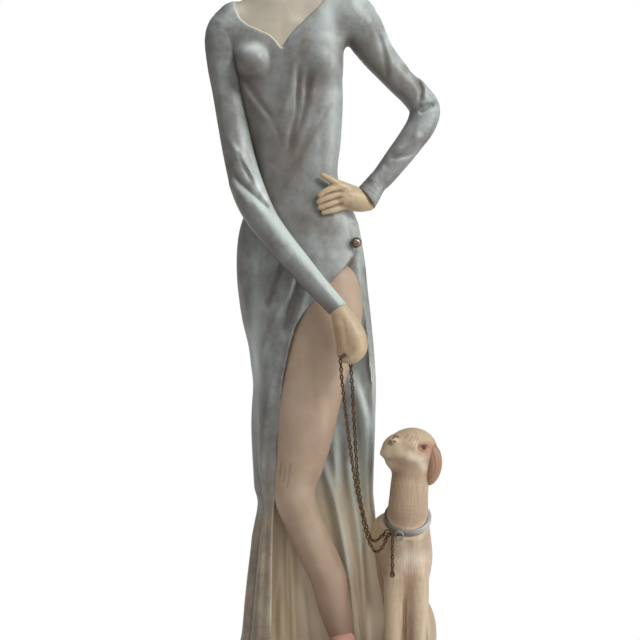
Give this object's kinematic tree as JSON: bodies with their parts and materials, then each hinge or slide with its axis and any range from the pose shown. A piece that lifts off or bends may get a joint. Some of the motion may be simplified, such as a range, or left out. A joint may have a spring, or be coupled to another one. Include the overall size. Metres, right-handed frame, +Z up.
{
  "type": "lady figurine with a dog on a chain leash",
  "caption": "Standing lady figurine in a long slit gown, one hand on the waist, the other holding a chain leash to a seated dog, on an oval base.",
  "frame": {"origin": "centre of the base's footprint, on the surface the felt rests on", "axes": "+Z up, -Y towards the viewer of the front, +X to the lady's left, where the dog sits"},
  "size_m": [0.128, 0.092, 0.419],
  "materials": {
    "gown_paint": "cold-cast resin, painted blue-grey fading to beige at the hem, brown wash in the folds, semi-gloss",
    "flesh_paint": "cold-cast resin, painted ivory, semi-gloss",
    "hand_paint": "cold-cast resin, painted warm ivory, semi-gloss",
    "hair_paint": "cold-cast resin, painted brown, satin",
    "shoe_paint": "cold-cast resin, painted dusty pink, semi-gloss",
    "dog_paint": "cold-cast resin, painted cream with a beige wash, satin",
    "ear_paint": "cold-cast resin, painted brown, satin",
    "collar_paint": "cold-cast resin, painted grey, semi-gloss",
    "base_paint": "cold-cast resin, painted dark brown, semi-gloss",
    "felt": "pressed felt",
    "old_brass": "antiqued brass",
    "bronze": "burnished bronze",
    "steel": "zinc-plated steel",
    "beech": "turned beech dowel"
  },
  "bodies": {
    "figurine": {"base_felt": "felt", "base_plinth": "base_paint", "neck_and_chest": "flesh_paint", "head": "flesh_paint", "hair": "hair_paint", "dress_bodice": "gown_paint", "dress_skirt": "gown_paint", "right_sleeve": "gown_paint", "left_sleeve": "gown_paint", "left_hand": "hand_paint", "right_hand": "hand_paint", "left_leg": "flesh_paint", "left_shoe": "shoe_paint", "slit_button": "bronze", "neck_dowel": "beech", "right_shoulder_dowel": "beech", "left_shoulder_dowel": "beech", "leg_rod": "steel", "lady_screw_left": "steel", "lady_screw_right": "steel", "dog_screw": "steel", "dog_body": "dog_paint", "dog_head": "dog_paint", "dog_left_ear": "ear_paint", "dog_right_ear": "ear_paint", "dog_collar": "collar_paint", "collar_eye": "collar_paint", "jump_ring": "old_brass"},
    "leash": {"leash_front_strand": "old_brass", "leash_rear_strand": "old_brass"},
    "leash_tail_chain": {"leash_tail": "old_brass"}
  },
  "joints": [
    {"name": "leash_swing", "type": "hinge", "parent": "figurine", "child": "leash", "pos_m": [0.02797, -0.0266, 0.09081], "axis": [-0.2331, -0.1261, 0.9642], "range_deg": [-8, 15]},
    {"name": "tail_swing", "type": "hinge", "parent": "figurine", "child": "leash_tail_chain", "pos_m": [0.03028, -0.02919, 0.09023], "axis": [-0.996, 0.0898, 0], "range_deg": [-8, 30]}
  ]
}
